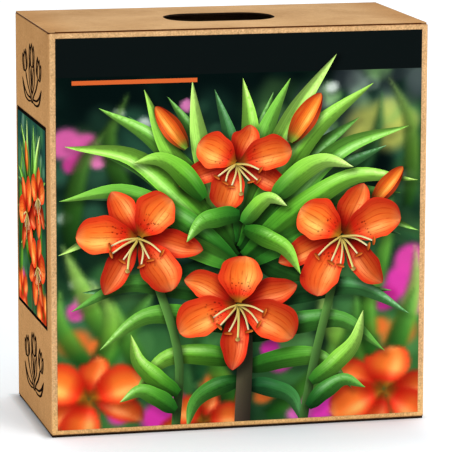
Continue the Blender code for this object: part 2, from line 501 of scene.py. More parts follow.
        # soft shadows that a shape casts on those below it
        for k, s in enumerate(self.sharp):
            if s["cast"] <= 0:
                continue
            poly = s["poly"] + np.array([0.25, -0.5]) * s["reach"]
            lo, hi = poly.min(0) - s["reach"], poly.max(0) + s["reach"]
            i = np.where((key[:, 0] < k) & (p > lo).all(1) & (p < hi).all(1))[0]
            if len(i):
                d = distance(p[i], poly)
                shade = 1 - s["cast"] * (1 - smooth(-0.35 * s["reach"], s["reach"], d))
                far = np.where(key[i, 0] < 0, 0.35, 1.0)
                f = 1 - (1 - shade) * far
                petal = np.array([q["kind"] in ("petal", "spotted") for q in self.sharp] + [False])[key[i, 0]]
                col[i] *= np.where(petal[:, None], glow(f), f[:, None])
        mesh = bpy.data.meshes.new(name)
        used, tri2 = np.unique(tri, return_inverse=True)
        tri2 = tri2.reshape(-1, 3)
        co2 = co[used]
        n_top = len(co2)
        # a closed sheet: the picture, its edges and a plain back
        on = (
            (co2[:, 0] < 1e-4)
            | (co2[:, 0] > self.w - 1e-4)
            | (co2[:, 1] < 1e-4)
            | (co2[:, 1] > self.h - 1e-4)
        )
        half = {(a, b) for t in tri2.tolist() for a, b in ((t[0], t[1]), (t[1], t[2]), (t[2], t[0]))}
        rim = {a: b for a, b in half if (b, a) not in half}
        start = next(iter(rim))
        loop, at = [start], rim[start]
        while at != start and len(loop) <= len(rim):
            loop.append(at)
            at = rim[at]
        thick = LABEL_T * 1000
        top = np.concatenate([co2, np.zeros((n_top, 1))], 1)
        low = np.concatenate([co2[loop], np.full((len(loop), 1), -thick)], 1)
        points = np.vstack([top, low]) / 1000
        index = {v: n_top + i for i, v in enumerate(loop)}
        polys = tri2.tolist()
        n_loop = len(loop)
        for i, a in enumerate(loop):
            b = loop[(i + 1) % n_loop]
            polys.append([b, a, index[a], index[b]])
        polys.append([index[v] for v in reversed(loop)])
        mesh.from_pydata(points.tolist(), [], polys)
        kinds = sorted(materials)
        for kind in kinds:
            mesh.materials.append(materials[kind])
        slots = [kinds.index(self.sharp[k]["kind"]) if k >= 0 else kinds.index("ground") for k in owner]
        slots += [kinds.index("ink")] * (n_loop + 1)
        mesh.polygons.foreach_set("material_index", slots)
        corners = len(mesh.loops)
        paint = np.tile([*linear(np.array([34, 34, 30])), 1.0], (corners, 1))
        where = np.zeros((corners, 3))
        m = len(tri) * 3
        paint[:m, :3] = (linear(col) * self.gain)[back]
        where[:m] = puv[back]
        layer = mesh.color_attributes.new("Ink", "FLOAT_COLOR", "CORNER")
        layer.data.foreach_set("color", paint.ravel())
        layer = mesh.attributes.new("Blade", "FLOAT_VECTOR", "CORNER")
        layer.data.foreach_set("vector", where.ravel())
        uv = mesh.uv_layers.new(name="OFBake")
        flat = np.zeros(corners * 2)
        vi = np.zeros(corners, int)
        mesh.loops.foreach_get("vertex_index", vi)
        side = max(self.w, self.h)
        xy = points[vi, :2] * 1000 / side * 0.9
        xy[:m] += 0.002
        # the edges and back share a small corner of the map
        xy[m:] = 0.93 + points[vi[m:], :2] * 1000 / side * 0.06
        flat[:] = xy.ravel()
        uv.data.foreach_set("uv", flat)
        mesh.update()
        o = bpy.data.objects.new(name, mesh)
        bpy.context.scene.collection.objects.link(o)
        print(name, "faces", len(polys), "shapes", len(self.sharp))
        return o


# ---------------------------------------------------------------- print materials
def ink_material(name, veins=0.0, fine=0.0, along=1.0, midrib=0.0, groove=0.0, rim=0.0, freckles=0.0, grain=0.03, lines=0.0, tint=(1, 1, 1), depth=0.0, gloss=0.0):
    """Printed colour from the shape's own paint, with veins that follow its blade."""
    m, n = new_material(name)
    colour = n.node("Attribute", attribute_name="Ink").outputs["Color"]
    blade = n.node("Attribute", attribute_name="Blade").outputs["Vector"]
    at = n.node("TexCoord").outputs["Object"]
    part = n.node("SeparateXYZ", {0: blade})
    u, v, seed = part.outputs
    level = 1.0
    if veins:
        q = n.node("CombineXYZ", {0: n.math("MULTIPLY", u, 5.5), 1: n.math("MULTIPLY", v, along), 2: seed})
        w = n.noise(q.outputs[0], 1.0, 3.0, 0.62, 0.25)
        level = n.math("MULTIPLY_ADD", n.math("SUBTRACT", w, 0.5), veins, 1.0)
    if fine:
        q = n.node("CombineXYZ", {0: n.math("MULTIPLY", u, 17.0), 1: n.math("MULTIPLY", v, 1.1 * along), 2: seed})
        w = n.noise(q.outputs[0], 1.0, 2.0, 0.6, 0.0)
        level = n.math("MULTIPLY_ADD", n.math("SUBTRACT", w, 0.5), fine, level)
    side = n.math("ABSOLUTE", u)
    if midrib:
        line = n.ramp(side, 0.02, 0.10, midrib, 0.0)
        level = n.math("ADD", level, line)
    if groove:
        line = n.ramp(side, 0.0, 0.16, -groove, 0.0)
        level = n.math("ADD", level, line)
        lip = n.math("MULTIPLY", n.ramp(side, 0.12, 0.26), n.ramp(side, 0.5, 0.28, 0.0, 1.0))
        level = n.math("MULTIPLY_ADD", lip, 0.5 * groove, level)
    if rim:
        level = n.math("ADD", level, n.ramp(side, 0.86, 1.0, 0.0, rim))
    if grain:
        speck = n.noise(at, 1500, 1.0, 0.5)
        speck = n.math("MULTIPLY", n.math("SUBTRACT", speck, 0.5), grain)
        level = n.math("ADD", speck, level) if not isinstance(level, float) else n.math("ADD", speck, level)
    shaded = n.vmath("SCALE", colour, scale=level)
    if lines:
        q = n.node("CombineXYZ", {0: n.math("MULTIPLY", u, 1.3), 1: n.math("MULTIPLY", v, 1.6), 2: seed})
        sway = n.math("MULTIPLY", n.math("SUBTRACT", n.noise(q.outputs[0], 1.0, 1.0, 0.5), 0.5), 0.9)
        t = n.math("FRACT", n.math("ADD", n.math("MULTIPLY_ADD", u, lines, 0.5), sway))
        t = n.math("ABSOLUTE", n.math("SUBTRACT", t, 0.5))
        q = n.node("CombineXYZ", {0: n.math("MULTIPLY", u, lines), 1: n.math("MULTIPLY", v, 5.0), 2: seed})
        broken = n.ramp(n.noise(q.outputs[0], 1.0, 2.0, 0.6), 0.30, 0.60)
        line = n.math("MULTIPLY", n.ramp(t, 0.02, 0.17, depth, 0.0), broken)
        line = n.math("MULTIPLY", line, n.math("MULTIPLY", n.ramp(v, 0.06, 0.22), n.ramp(v, 0.97, 0.72, 0.0, 1.0)))
        line = n.math("MULTIPLY", line, n.ramp(side, 0.97, 0.72, 0.0, 1.0))
        shaded = n.mix(line, shaded, n.vmath("MULTIPLY", shaded, tint))
    if freckles:
        q = n.node("CombineXYZ", {0: n.math("MULTIPLY", u, 5.0), 1: n.math("MULTIPLY", v, 13.0), 2: seed})
        cell = n.node("TexVoronoi", {"Vector": q.outputs[0], "Scale": 1.0, "Randomness": 0.9}).outputs["Distance"]
        spot = n.ramp(cell, 0.20, 0.30, freckles, 0.0)
        spot = n.math("MULTIPLY", spot, n.ramp(v, 0.10, 0.20))
        spot = n.math("MULTIPLY", spot, n.ramp(v, 0.55, 0.38, 0.0, 1.0))
        spot = n.math("MULTIPLY", spot, n.ramp(side, 0.85, 0.6, 0.0, 1.0))
        shaded = n.mix(spot, shaded, srgb(96, 20, 8))
    paper = n.noise(at, 900, 2.0, 0.5)
    n.finish(shaded, n.ramp(paper, 0.3, 0.7, 0.60, 0.72), n.bump(paper, 0.05, 0.00005), gloss)
    return m


PRINT = {
    "ground": ink_material("print_ground", grain=0.05),
    "leaf": ink_material(
        "print_leaf", veins=0.46, fine=0.34, along=0.7, midrib=0.22, rim=0.22, lines=4.5, tint=(0.50, 0.62, 0.5), depth=0.55
    ),
    "petal": ink_material(
        "print_petal", veins=0.34, fine=0.26, along=0.9, groove=0.12, rim=0.10, lines=4.0, tint=(0.72, 0.30, 0.26), depth=0.8
    ),
    "spotted": ink_material(
        "print_spotted_petal", veins=0.34, fine=0.26, along=0.9, groove=0.12, rim=0.10, freckles=0.75, lines=4.0,
        tint=(0.72, 0.30, 0.26), depth=0.7
    ),
    "thread": ink_material("print_thread", veins=0.15, grain=0.05),
    "ink": ink_material("print_ink", grain=0.06),
}


# ---------------------------------------------------------------- what the shapes are painted with
def bell(x, width):
    return np.exp(-0.5 * (x / width) ** 2)


def leaf_paint(root, middle, tip, lit=0.22, side=1, fold=0.12, gloss=0.5, phase=0.0):
    def paint(u, v, p):
        c = blend([(0, root), (0.42, middle), (1, tip)], v)
        s = smooth(-fold, fold, side * u)
        k = 1 - 0.95 * lit + 1.7 * lit * s
        k *= 1 - 0.22 * np.abs(u) ** 3 * (s < 0.5)
        c = c * k[:, None]
        sheen = bell(side * u - 0.48, 0.17) * (0.5 + 0.5 * np.sin(5.2 * v + phase)) * smooth(0.1, 0.4, v)
        return c + (gloss * sheen)[:, None] * np.array([104, 84, 112])

    return paint


def glow(k):
    """Shading for petals, per channel: light shines through them, so their shaded parts turn red before they turn dark."""
    k = np.clip(k, 0.02, None)[:, None]
    return np.where(k < 1, k ** np.array([0.55, 1.25, 1.1]), k)


def petal_paint(throat, deep, body, edge, tip, lit=0.16, side=1, shade=0.0, arch=0.55):
    def paint(u, v, p):
        c = blend([(0, throat), (0.07, throat), (0.20, deep), (0.46, body), (0.82, body), (1, tip)], v)
        e = smooth(0.40, 1.0, np.abs(u)) * smooth(0.12, 0.42, v) * 0.80
        c = c + (np.array(edge, float) - c) * e[:, None]
        k = 1 + lit * np.sin(1.9 * side * u) - 0.12 * np.abs(u) ** 2
        k *= 1 - shade * (1 - v)
        # the arch of the petal is turned to the light, its tip away from it
        k *= 1 + 0.15 * bell(v - arch, 0.17) - 0.16 * smooth(0.84, 1.0, v)
        c = c * glow(k)
        gloss = bell(side * u - 0.36, 0.24) * bell(v - arch, 0.20)
        return c + gloss[:, None] * np.array([20, 52, 50])

    return paint


def plain_paint(a, b=None, lit=0.2, side=1):
    b = a if b is None else b

    def paint(u, v, p):
        return blend([(0, a), (1, b)], v) * (1 + lit * side * u)[:, None]

    return paint


GREENS = [
    ((24, 74, 22), (74, 142, 42), (132, 192, 76)),
    ((18, 62, 24), (58, 122, 42), (108, 174, 72)),
    ((30, 84, 22), (98, 166, 44), (156, 208, 84)),
    ((16, 56, 30), (46, 106, 50), (90, 154, 84)),
    ((40, 98, 30), (122, 184, 58), (184, 222, 116)),
]
THROAT, DEEP, BODY, EDGE, TIP = (156, 100, 24), (236, 48, 22), (255, 120, 42), (255, 66, 34), (255, 160, 88)


def leaf(pic, root, tip, width, bow=0.15, tone=0, side=1, lean=0.0, droop=0.0, cast=0.5, soft=0.0, dim=1.0, opacity=1.0):
    """A lance leaf from root to tip. bow is its sideways sweep, as a share of its length."""
    a, b = np.array(root, float), np.array(tip, float)
    along = b - a
    across = np.array([-along[1], along[0]])
    q = [
        a,
        a + 0.33 * along + across * bow * 0.75,
        a + 0.68 * along + across * bow * 0.95 + np.array([0, droop * 0.2]),
        b + np.array([0, -droop]),
    ]
    r, m, t = (np.array(c, float) * dim for c in GREENS[tone])
    wave = 0.05 if not soft else 0.0
    g = ribbon(q, width, LANCE, 26 if not soft else 12, 4 if not soft else 2, lean, wave, pic.rng.uniform(0, 6))
    paint = leaf_paint(r, m, t, 0.22, side, 0.12 if not soft else 0.9, 0.72 * dim if not soft else 0.1, pic.rng.uniform(0, 6))
    if soft:
        pic.add_soft(g, paint, soft, opacity)
    else:
        pic.add(g, paint, "leaf", cast, 4.5)


def lily(pic, x, y, r, turn, squash=0.8, axis=0.0, light=2.2, dim=1.0, soft=0.0, spotted=True, stamens=True, droop=0.10):
    """An open six-petalled lily. It is squashed along axis as a flower that looks aside, and light is where the light comes from."""
    rng = pic.rng
    ca, sa = math.cos(axis), math.sin(axis)

    def seen(q):
        q = np.array(q, float)
        a, b = q[:, 0] * ca + q[:, 1] * sa, -q[:, 0] * sa + q[:, 1] * ca
        b = b * squash
        out = np.stack([a * ca - b * sa, a * sa + b * ca], 1)
        far = np.hypot(q[:, 0], q[:, 1]) / r
        out[:, 1] -= droop * r * far**2
        return out + np.array([x, y])

    order = [(1, SEPAL, 0.42, 1.0), (0, PETAL, 0.60, 0.96)]
    for ring, profile, wide, long in order:
        turns = [turn + math.radians(120 * k + (60 if ring else 0)) for k in range(3)]
        for a in sorted(turns, key=lambda t: math.sin(t)):
            a += rng.uniform(-0.07, 0.07)
            reach = r * long * rng.uniform(0.94, 1.04)
            curl = rng.uniform(-0.10, 0.10)
            c, s = math.cos(a), math.sin(a)
            q = [(t * reach * c - k * s, t * reach * s + k * c) for t, k in (
                (0.04, 0),
                (0.38, curl * 0.4 * reach),
                (0.72, curl * 0.9 * reach),
                (1.0, curl * 0.5 * reach),
            )]
            facing = math.sin(a - light)
            line = seen(q)
            span = np.linalg.norm(line[-1] - line[0]) / (reach * 0.96)
            g = ribbon(
                line,
                r * wide * (0.62 + 0.38 / max(span, 0.6) * 0.9),
                profile,
                28 if not soft else 12,
                6 if not soft else 4,
                0.16 * facing,
                0.05 if not soft else 0,
                rng.uniform(0, 6),
            )
            down = 0.12 * (1 - math.cos(a - light)) / 2 + (0.09 if ring else 0.0)
            k = dim * (1 - down) * rng.uniform(0.95, 1.05)
            # petals turned from the light, and those behind, are redder
            red = np.array([1.0, 1.0 - 0.9 * down * rng.uniform(0.6, 1.5), 1.0 - 0.5 * down])
            cols = [tuple(np.array(col, float) * k * red) for col in (THROAT, DEEP, BODY, EDGE, TIP)]
            paint = petal_paint(*cols, 0.20, -1 if facing > 0 else 1, 0.14 if ring else 0.05, rng.uniform(0.48, 0.62))
            if soft:
                pic.add_soft(g, paint, soft)
            else:
                pic.add(g, paint, "petal" if ring or not spotted else "spotted", 0.55, 6.5)
    if soft or not stamens:
        return
    # the throat, six stamens and the style
    aim = axis - math.pi / 2
    for k, a in enumerate(np.linspace(-1.05, 1.05, 7)):
        style = k == 3
        a = aim + a + rng.uniform(-0.08, 0.08)
        reach = r * (0.60 if style else rng.uniform(0.42, 0.52))
        lift = rng.uniform(-0.05, 0.05) * r
        q = [
            (x, y),
            (x + 0.5 * reach * math.cos(a) - lift * math.sin(a), y + 0.5 * reach * math.sin(a) + 0.06 * r),
            (x + reach * math.cos(a), y + reach * math.sin(a) * 0.9 + 0.03 * r),
        ]
        pale = (226, 226, 140) if style else (255, 236, 186)
        pic.add(
            ribbon(q, 1.8 if style else 1.45, FILAMENT, 9, 2),
            plain_paint((190, 160, 70), pale, 0.18),
            "thread",
            0.35,
            1.6,
            ribs=False,
        )
        end, b = np.array(q[-1]), a + math.pi / 2 + rng.uniform(-0.35, 0.35)
        if style:
            g = ribbon([end - 1.4 * np.array([math.cos(a), math.sin(a)]), end + 1.4 * np.array([math.cos(a), math.sin(a)])], 3.4, ANTHER, 6, 2)
            pic.add(g, plain_paint((150, 120, 60), (190, 160, 90), 0.2), "thread", 0.4, 1.6, ribs=False)
        else:
            h = 0.062 * r
            d = np.array([math.cos(b), math.sin(b)])
            g = ribbon([end - h * d, end + np.array([0, 0.3]), end + h * d], 0.046 * r, ANTHER, 7, 2)
            pic.add(g, plain_paint((150, 62, 18), (196, 104, 40), 0.3), "thread", 0.45, 1.8, ribs=False)


def bud(pic, root, tip, width, dim=1.0, side=1, green=0.4):
    """A closed lily bud: three petals wrapped lengthwise."""
    a, b = np.array(root, float), np.array(tip, float)
    along = b - a
    across = np.array([-along[1], along[0]]) / np.linalg.norm(along)
    for shift, wide, k in ((-0.22, 0.62, 0.80), (0.22, 0.62, 0.90), (0.0, 0.66, 1.0)):
        q = [a + across * shift * width * 0.35, a + 0.5 * along + across * shift * width, b]
        cols = [tuple(np.array(c, float) * k * dim) for c in ((112, 150, 46), (206, 120, 36), (252, 128, 40), (232, 84, 28), (224, 128, 56))]
        pic.add(ribbon(q, width * wide, BUD, 20, 4, 0.0, 0.02), petal_paint(*cols, 0.18, side, 0.05), "petal", 0.45, 4.0)


def stalk(pic, points, width, a=(44, 84, 34), b=(92, 140, 60), cast=0.5):
    pic.add(ribbon(points, width, STALK, 14, 2), plain_paint(a, b, 0.28, -1), "thread", cast, 4.0)


def bokeh(pic, count, colours, area, size, seed, opacity=(0.25, 0.7)):
    rng = np.random.default_rng(seed)
    for _ in range(count):
        x, y = rng.uniform(area[0], area[2]), rng.uniform(area[1], area[3])
        r = rng.uniform(*size)
        pic.blob(
            x,
            y,
            r,
            r * rng.uniform(0.55, 1.0),
            rng.uniform(0, 3.1),
            colours[rng.integers(len(colours))],
            rng.uniform(0.35, 0.85),
            rng.uniform(*opacity),
        )


# ---------------------------------------------------------------- the front picture
def block(pic, x0, y0, x1, y1, colour):
    g = np.array([[(x0, y0), ((x0 + x1) / 2, y0), (x1, y0)], [(x0, y1), ((x0 + x1) / 2, y1), (x1, y1)]], float)
    pic.add(g, plain_paint(colour, None, 0.0), "ink", 0.0, 2.0, ribs=False)


def front_picture():
    w, h = 1000 * (W - 2 * FACE_EDGE), 1000 * (PRINT_Z1 - PRINT_Z0)
    band = 1000 * (HEADER_Z - PRINT_Z0)
    pic = Picture(w, h, 11, 1.8)
    pic.ground = [
        (0.0, (58, 110, 50)),
        (0.3, (50, 98, 52)),
        (0.6, (38, 80, 52)),
        (0.80, (18, 44, 36)),
        (0.9, (6, 18, 16)),
        (1.0, (4, 14, 14)),
    ]
    dark = [(4, 16, 14), (8, 26, 22), (3, 11, 11), (14, 38, 28)]
    mid = [(58, 114, 58), (78, 134, 70), (62, 112, 88), (100, 150, 78), (52, 104, 56)]
    pale = [(150, 188, 146), (184, 206, 182), (134, 186, 106), (120, 176, 92)]
    bokeh(pic, 46, dark, (0, 0, w, h), (12, 30), 1, (0.35, 0.85))
    bokeh(pic, 110, mid, (0, 0, w, h - 40), (6, 18), 2, (0.3, 0.7))
    bokeh(pic, 40, dark, (0, 110, w, h), (7, 18), 7, (0.45, 0.9))
    bokeh(pic, 34, pale, (0, 60, w, 230), (2.5, 8), 3, (0.3, 0.75))
    bokeh(pic, 16, pale, (150, 200, w, 248), (5, 12), 9, (0.35, 0.7))
    bokeh(pic, 12, [(5, 16, 15)], (0, 222, 120, 252), (12, 24), 4, (0.7, 0.95))
    bokeh(pic, 16, [(34, 72, 54), (46, 86, 62), (60, 104, 78)], (0, 176, 120, 240), (6, 13), 14, (0.4, 0.75))
    bokeh(pic, 10, [(66, 74, 78), (44, 50, 54)], (176, 214, w, 246), (6, 13), 15, (0.4, 0.7))
    # a warm patch at the upper right, pink and magenta clumps, a few white flowers
    for x, y, r, o in ((222, 210, 15, 0.7), (240, 200, 12, 0.75), (212, 198, 10, 0.5), (236, 220, 9, 0.6), (250, 210, 9, 0.7)):
        pic.blob(x, y, r, r * 0.8, 0.3, (200, 198, 92), 0.6, o)
    for x, y, r, c in (
        (20, 200, 10, (208, 84, 154)),
        (30, 191, 8, (230, 120, 178)),
        (12, 188, 8, (190, 58, 134)),
        (248, 96, 14, (226, 60, 170)),
        (236, 84, 10, (204, 44, 146)),
        (258, 80, 10, (240, 110, 186)),
        (14, 84, 8, (218, 80, 160)),
        (190, 10, 15, (232, 52, 184)),
        (206, 20, 10, (208, 40, 160)),
        (174, 6, 10, (244, 108, 204)),
        (72, 6, 13, (224, 50, 172)),
        (84, 16, 8, (240, 100, 192)),
        (160, 42, 9, (222, 56, 172)),
        (152, 52, 7, (198, 40, 150)),
        (92, 226, 5, (214, 120, 176)),
        (6, 202, 12, (214, 92, 160)),
        (254, 112, 12, (222, 66, 164)),
        (20, 92, 8, (232, 130, 190)),
        (44, 10, 9, (226, 60, 170)),
    ):
        pic.blob(x, y, r, r * 0.85, 0.5, c, 0.35, 0.95)
    for x, y, r in ((62, 214, 5.5), (74, 206, 4.5), (184, 226, 5), (14, 104, 5), (24, 96, 4.5), (214, 66, 4.5), (44, 222, 4), (6, 150, 5), (196, 236, 4.5), (252, 172, 5)):
        pic.blob(x, y, r, r * 0.8, 0.2, (226, 234, 226), 0.55, 0.8)
    for x, y, r in ((246, 58, 13), (230, 64, 9), (12, 62, 12), (28, 58, 9), (112, 30, 10), (148, 18, 8)):
        pic.blob(x, y, r, r * 0.7, 0.3, (252, 112, 44), 0.5, 0.85)
    # out-of-focus leaves and flowers
    rng = np.random.default_rng(5)
    for x0, y0, x1, y1, wd in (
        (10, 120, 40, 216, 14),
        (36, 60, 4, 130, 15),
        (238, 40, 258, 120, 15),
        (214, 60, 240, 156, 14),
        (128, 6, 92, 72, 14),
        (150, 4, 200, 76, 14),
        (60, 150, 50, 234, 13),
        (196, 150, 232, 230, 13),
        (24, 40, 70, 100, 17),
        (236, 34, 188, 96, 17),
        (22, 44, 2, 98, 14),
        (240, 36, 258, 90, 14),
        (100, 30, 112, 80, 13),
        (64, 30, 40, 90, 14),
        (200, 30, 214, 90, 14),
        (30, 40, 24, 104, 13),
        (226, 40, 230, 104, 13),
        (252, 150, 238, 240, 12),
    ):
        leaf(pic, (x0, y0), (x1, y1), wd, rng.uniform(-0.2, 0.2), int(rng.integers(5)), soft=3.4, dim=0.92 if y1 < 180 else 0.62, opacity=0.9)
    lily(pic, 22, 22, 47, 0.5, 0.72, 0.2, dim=1.0, soft=2.2)
    lily(pic, 236, 18, 50, 1.4, 0.74, -0.3, dim=0.98, soft=2.2)
    lily(pic, 104, 2, 34, 2.3, 0.7, 0.1, dim=0.92, soft=2.6)
    # printed over the picture: the header band
    block(pic, -1, band, w + 1, h + 1, (13, 19, 19))
    # in focus: a back row of shaded leaves, the stalks, a bright row, and the flowers
    for a, reach, wd, bow, tone in (
        (6, 118, 16, 0.10, 3),
        (20, 124, 17, 0.08, 1),
        (34, 128, 17, 0.06, 3),
        (47, 126, 17, 0.07, 1),
        (61, 120, 16, 0.05, 3),
        (78, 114, 16, 0.04, 1),
        (99, 116, 16, -0.05, 3),
        (115, 122, 16, -0.06, 1),
        (129, 126, 17, -0.06, 3),
        (144, 128, 17, -0.07, 1),
        (158, 124, 17, -0.08, 3),
        (172, 118, 16, -0.10, 1),
        (190, 114, 15, 0.10, 3),
        (-14, 114, 15, -0.10, 1),
    ):
        t = math.radians(a)
        tip = (130 + reach * math.cos(t), 122 + min(reach * math.sin(t), 122))
        leaf(pic, (130 + 3 * math.cos(t), 122 + 3 * math.sin(t)), tip, wd, bow, tone, 1 if a % 2 else -1, 0.05, 5 if a < 30 or a > 150 else 0, dim=0.86)
    for r0, t0, wd, bow, tone, side, droop in (
        ((132, 84), (10, 88), 16, -0.12, 1, 1, 4),
        ((134, 82), (254, 76), 16, 0.12, 3, -1, 4),
        ((132, 66), (30, 62), 16, -0.14, 0, 1, 6),
        ((134, 60), (236, 52), 16, 0.14, 1, -1, 6),
        ((132, 44), (54, 30), 15, -0.16, 2, 1, 6),
        ((134, 38), (212, 26), 15, 0.16, 0, -1, 6),
        ((132, 30), (92, -2), 13, -0.20, 1, 1, 2),
        ((135, 26), (176, -2), 13, 0.20, 3, -1, 2),
    ):
        leaf(pic, r0, t0, wd, bow, tone, side, 0.05 * side, droop, dim=0.94)
    stalk(pic, [(132, -4), (134, 60), (129, 100), (130, 168)], 11.5, (62, 52, 44), (96, 112, 60))
    stalk(pic, [(84, -4), (86, 50), (70, 104), (58, 134)], 6.5, (54, 88, 42), (96, 144, 64))
    stalk(pic, [(176, -4), (184, 40), (196, 90), (204, 128)], 6.5, (54, 88, 42), (96, 144, 64))
    for r0, t0, wd, bow, tone, side, droop in (
        # root, tip, width, bow, tone, side, droop
        ((128, 122), (30, 226), 18, -0.09, 0, 1, 0),
        ((130, 124), (62, 238), 18, 0.05, 2, -1, 0),
        ((129, 128), (96, 243), 18, 0.05, 4, -1, 0),
        ((131, 130), (132, 244), 19, -0.05, 2, 1, 0),
        ((131, 128), (166, 243), 18, 0.05, 0, -1, 0),
        ((132, 126), (199, 259), 19, 0.06, 4, 1, 0),
        ((132, 124), (226, 238), 19, 0.08, 2, -1, 0),
        ((132, 122), (252, 210), 18, 0.10, 0, 1, 3),
        ((133, 118), (259, 174), 17, 0.12, 2, -1, 6),
        ((127, 118), (6, 204), 18, -0.12, 2, -1, 4),
        ((127, 114), (2, 168), 17, -0.12, 0, 1, 6),
        ((127, 112), (1, 132), 16, -0.12, 4, -1, 8),
        ((133, 112), (260, 140), 16, 0.12, 0, 1, 8),
    ):
        leaf(pic, r0, t0, wd, bow, tone, side, 0.08 * side, droop)
    for r0, t0, wd, bow, tone, side, droop in (
        ((86, 22), (52, 66), 14, 0.14, 2, 1, 0),
        ((84, 10), (44, 22), 13, -0.16, 0, 1, 4),
        ((182, 26), (220, 76), 14, -0.14, 4, -1, 0),
        ((180, 8), (222, 24), 13, 0.16, 1, -1, 4),
    ):
        leaf(pic, r0, t0, wd, bow, tone, side, 0.05 * side, droop)
    bud(pic, (166, 198), (188, 232), 16, 0.97)
    bud(pic, (92, 196), (70, 226), 14, 0.94, -1)
    bud(pic, (226, 152), (248, 178), 13, 0.92)
    lily(pic, 128, 184, 42, 0.35, 0.78, 0.15, dim=0.95)
    leaf(pic, (104, 160), (54, 190), 15, -0.16, 2, 1, 0.05, 3)
    leaf(pic, (154, 158), (212, 182), 16, 0.16, 4, -1, -0.05, 3)
    lily(pic, 58, 134, 47, 0.95, 0.86, -0.25, dim=0.99)
    lily(pic, 204, 130, 49, 0.25, 0.84, 0.3, dim=0.99)
    leaf(pic, (130, 148), (92, 132), 14, -0.14, 0, 1, 0.05, 2)
    leaf(pic, (132, 142), (164, 158), 12, 0.18, 4, -1, 0.05, 5)
    leaf(pic, (133, 138), (174, 106), 13, 0.12, 2, -1, 0.05, 2)
    lily(pic, 129, 84, 49, 1.5, 0.86, 0.05)
    block(pic, 11.2, band - 5.4, 99.5, band - 2.4, (212, 98, 46))
    o = pic.build("front_print", PRINT)
    # from the picture's own plane to the carton's front
    o.matrix_world = Matrix(((1, 0, 0, -w / 2000), (0, 0, -1, PRINT_Y), (0, 1, 0, PRINT_Z0), (0, 0, 0, 1)))
    return o


# ---------------------------------------------------------------- the side pictures
def side_picture(name, seed, flip):
    lo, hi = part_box("left_side_label")
    w, h = 1000 * (hi.y - lo.y), 1000 * (hi.z - lo.z)
    # painted light: a gain of 1.12, above the front's 0.82, paints the side prints brighter against the dimmer light on
    # the sides
    pic = Picture(w, h, seed, 2.4, 1.12)
    pic.ground = [(0.0, (52, 100, 52)), (0.5, (44, 90, 56)), (0.85, (34, 78, 66)), (1.0, (26, 64, 60))]
    bokeh(pic, 20, [(14, 40, 38), (18, 48, 46), (12, 34, 34)], (0, 0, w, h), (8, 20), seed + 1, (0.3, 0.7))
    bokeh(pic, 44, [(66, 122, 70), (86, 142, 98), (78, 128, 84)], (0, 0, w, h), (4, 13), seed + 2, (0.3, 0.7))
    bokeh(pic, 12, [(150, 188, 150), (134, 186, 110)], (0, 60, w, h), (3, 8), seed + 3, (0.3, 0.6))
    for x, y, r in ((20, 20, 8), (30, 13, 6), (96, 30, 7)):
        pic.blob(x, y, r, r * 0.8, 0.4, (220, 72, 166), 0.45, 0.9)
    for x0, y0, x1, y1, wd in ((14, 40, 24, 120, 12), (100, 30, 94, 116, 12), (60, 60, 76, 132, 12), (8, 6, 30, 60, 12), (108, 4, 90, 60, 12)):
        leaf(pic, (x0, y0), (x1, y1), wd, 0.1, 2, soft=2.4, dim=0.85)
    lily(pic, 16, 10, 26, 0.6, 0.7, 0.2, soft=2.2)
    lily(pic, 102, 8, 28, 1.2, 0.7, -0.2, soft=2.2)
    stalk(pic, [(58, -4), (56, 40), (58, 78)], 6.4, (66, 72, 46), (104, 144, 70))
    for a, reach, wd, bow, tone in (
        (14, 62, 10, 0.1, 3), (36, 70, 11, 0.08, 1), (62, 80, 11, 0.06, 3), (84, 80, 11, 0.04, 1),
        (106, 80, 11, -0.04, 3), (128, 76, 11, -0.06, 1), (150, 66, 11, -0.08, 3), (170, 60, 10, -0.1, 1),
    ):
        t = math.radians(a)
        leaf(pic, (58, 62), (58 + reach * math.cos(t), 60 + reach * math.sin(t)), wd, bow, tone, 1 if a % 4 else -1, 0.05, 2, dim=0.82)
    for r0, t0, wd, bow, tone, side in (
        ((56, 64), (16, 132), 12, -0.08, 2, 1),
        ((58, 66), (40, 139), 13, 0.04, 4, -1),
        ((60, 66), (66, 138), 13, -0.04, 0, 1),
        ((62, 64), (92, 134), 13, 0.08, 4, -1),
        ((62, 56), (112, 104), 12, 0.14, 2, 1),
        ((52, 54), (4, 100), 12, -0.14, 0, -1),
        ((58, 34), (12, 44), 11, -0.16, 2, 1),
        ((59, 30), (104, 42), 11, 0.16, 0, -1),
    ):
        leaf(pic, r0, t0, wd, bow, tone, side, 0.06 * side)
    bud(pic, (42, 98), (34, 122), 11, 0.95)
    lily(pic, 82, 88, 32, 0.5, 0.84, 0.2, dim=0.95)
    lily(pic, 38, 70, 36, 1.1, 0.86, -0.2)
    lily(pic, 78, 38, 35, 0.2, 0.8, 0.3, dim=0.98)
    t = 2.6
    ink = (16, 12, 10)
    block(pic, -1, -1, w + 1, t, ink)
    block(pic, -1, h - t, w + 1, h + 1, ink)
    block(pic, -1, t, t, h - t, ink)
    block(pic, w - t, t, w + 1, h - t, ink)
    o = pic.build(name, PRINT)
    if flip < 0:  # on the left side, seen from -X: the picture's x runs towards -Y
        o.matrix_world = Matrix(((0, 0, -1, lo.x), (-1, 0, 0, hi.y), (0, 1, 0, lo.z), (0, 0, 0, 1)))
    else:
        lo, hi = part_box("right_side_label")
        o.matrix_world = Matrix(((0, 0, 1, hi.x), (1, 0, 0, lo.y), (0, 1, 0, lo.z), (0, 0, 0, 1)))
    return o


# ---------------------------------------------------------------- line drawings in dark ink on the board
def drawing_material():
    m, n = new_material("drawing_ink")
    at = n.node("TexCoord").outputs["Object"]
    w = n.noise(at, 1100, 2.0, 0.6)
    colour = n.mix(n.ramp(w, 0.35, 0.75), srgb(20, 13, 9), srgb(40, 26, 17))
    n.finish(colour, n.ramp(w, 0.3, 0.7, 0.65, 0.85), None, 0.0)
    return m


